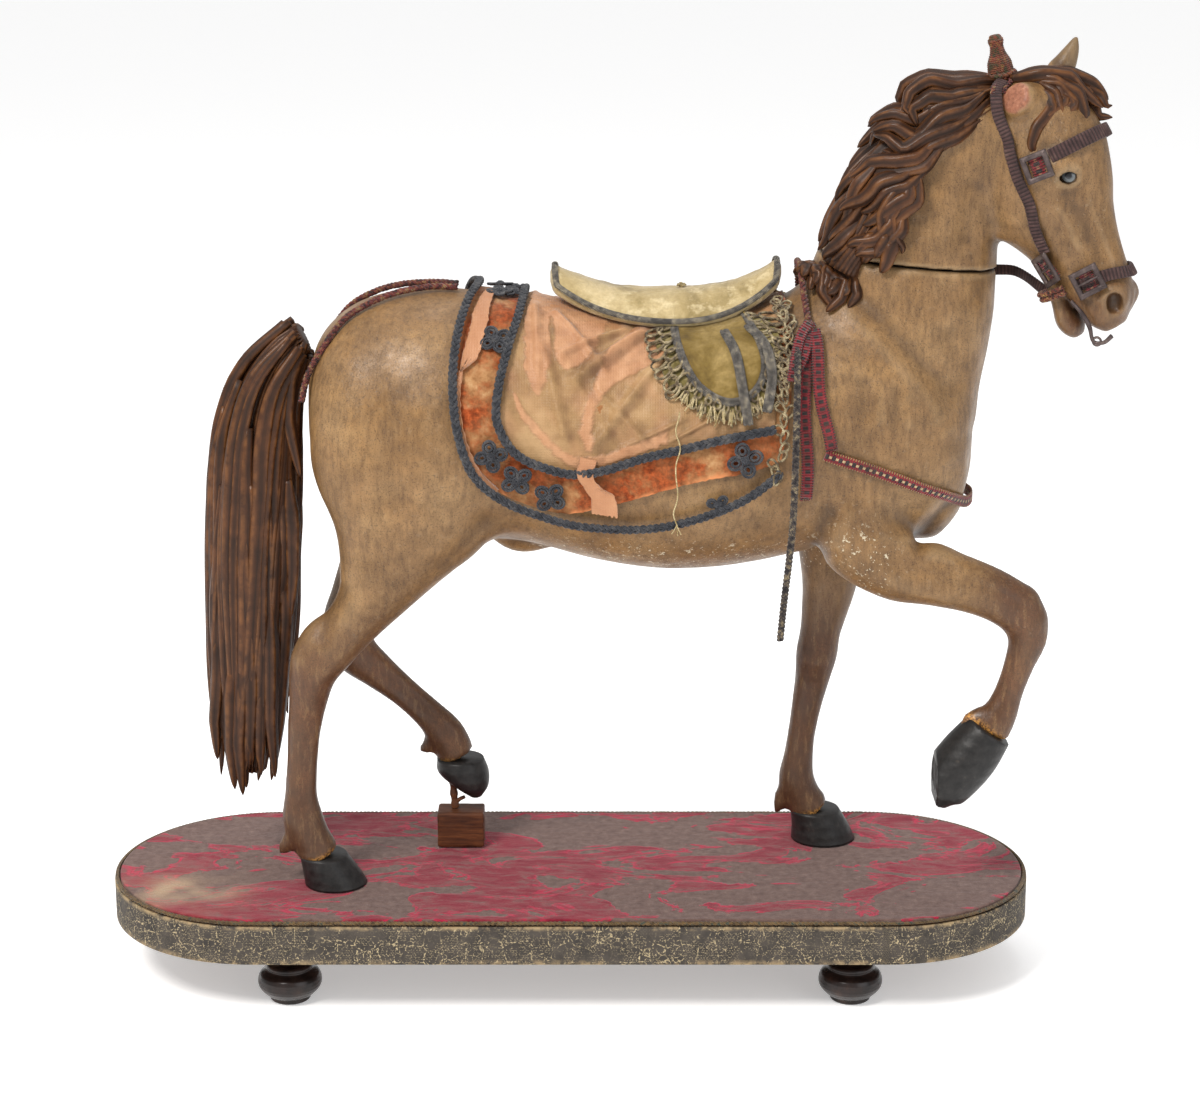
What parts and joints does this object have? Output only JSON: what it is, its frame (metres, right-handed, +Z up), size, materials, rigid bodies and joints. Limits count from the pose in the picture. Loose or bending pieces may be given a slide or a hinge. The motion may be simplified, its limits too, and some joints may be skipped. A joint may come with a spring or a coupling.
{
  "type": "nativity horse figure",
  "caption": "Carved and painted crib figure of a walking horse with saddle, saddlecloth and bridle, a foreleg raised, on a long rounded plinth with bun feet.",
  "frame": {"origin": "under the middle of the bounding box, on the surface the feet stand on", "axes": "+X towards the horse's head, +Y away from the side the picture shows, +Z up"},
  "size_m": [0.4936, 0.15, 0.4594],
  "materials": {
    "painted_coat": "painted, satin, worn",
    "painted_hair": "painted, satin",
    "stained_wood": "stained, worn",
    "black_gloss": "polished",
    "crimson_velvet": "worn velvet",
    "grey_paper": "printed, matte",
    "thread": "twisted cord",
    "cream_silk": "torn silk and velvet",
    "grey_braid": "metal-thread braid",
    "olive_velvet": "worn velvet",
    "green_velvet": "velvet",
    "red_braid": "braided ribbon",
    "dark_strap": "ribbed braid",
    "dark_metal": "dark, worn"
  },
  "bodies": {
    "root": {"plinth_board": "stained_wood", "plinth_cover": "crimson_velvet", "plinth_band": "grey_paper", "plinth_cord": "thread", "foot_rear_near": "black_gloss", "foot_rear_far": "black_gloss", "foot_fore_near": "black_gloss", "foot_fore_far": "black_gloss", "horse_body": "painted_coat", "horse_head_neck": "painted_coat", "tail": "painted_hair", "rest_block": "stained_wood", "rest_pin": "stained_wood", "saddlecloth": "cream_silk", "cloth_outer_braid": "grey_braid", "cloth_inner_braid": "grey_braid", "saddle_seat": "olive_velvet", "saddle_flap_near": "green_velvet", "saddle_flap_far": "green_velvet", "stirrup_braid_rear_near": "grey_braid", "stirrup_braid_fore_near": "grey_braid", "stirrup_braid_rear_far": "grey_braid", "stirrup_braid_fore_far": "grey_braid", "wither_cord": "red_braid", "ribbon_rear": "red_braid", "ribbon_fore": "red_braid", "breast_ribbon": "red_braid", "dangling_braid": "dark_strap", "crupper_cord_near": "red_braid", "crupper_cord_far": "red_braid", "cheek_strap_near": "dark_strap", "cheek_strap_far": "dark_strap", "brow_band": "dark_strap", "nose_band": "dark_strap", "buckle_brow_near": "dark_metal", "buckle_brow_far": "dark_metal", "buckle_cheek_near": "dark_metal", "buckle_cheek_far": "dark_metal", "buckle_nose_near": "dark_metal", "buckle_nose_far": "dark_metal", "chin_cord": "red_braid", "rein_far": "dark_strap", "bit_hook": "dark_metal", "plume_holder": "red_braid"}
  },
  "joints": []
}
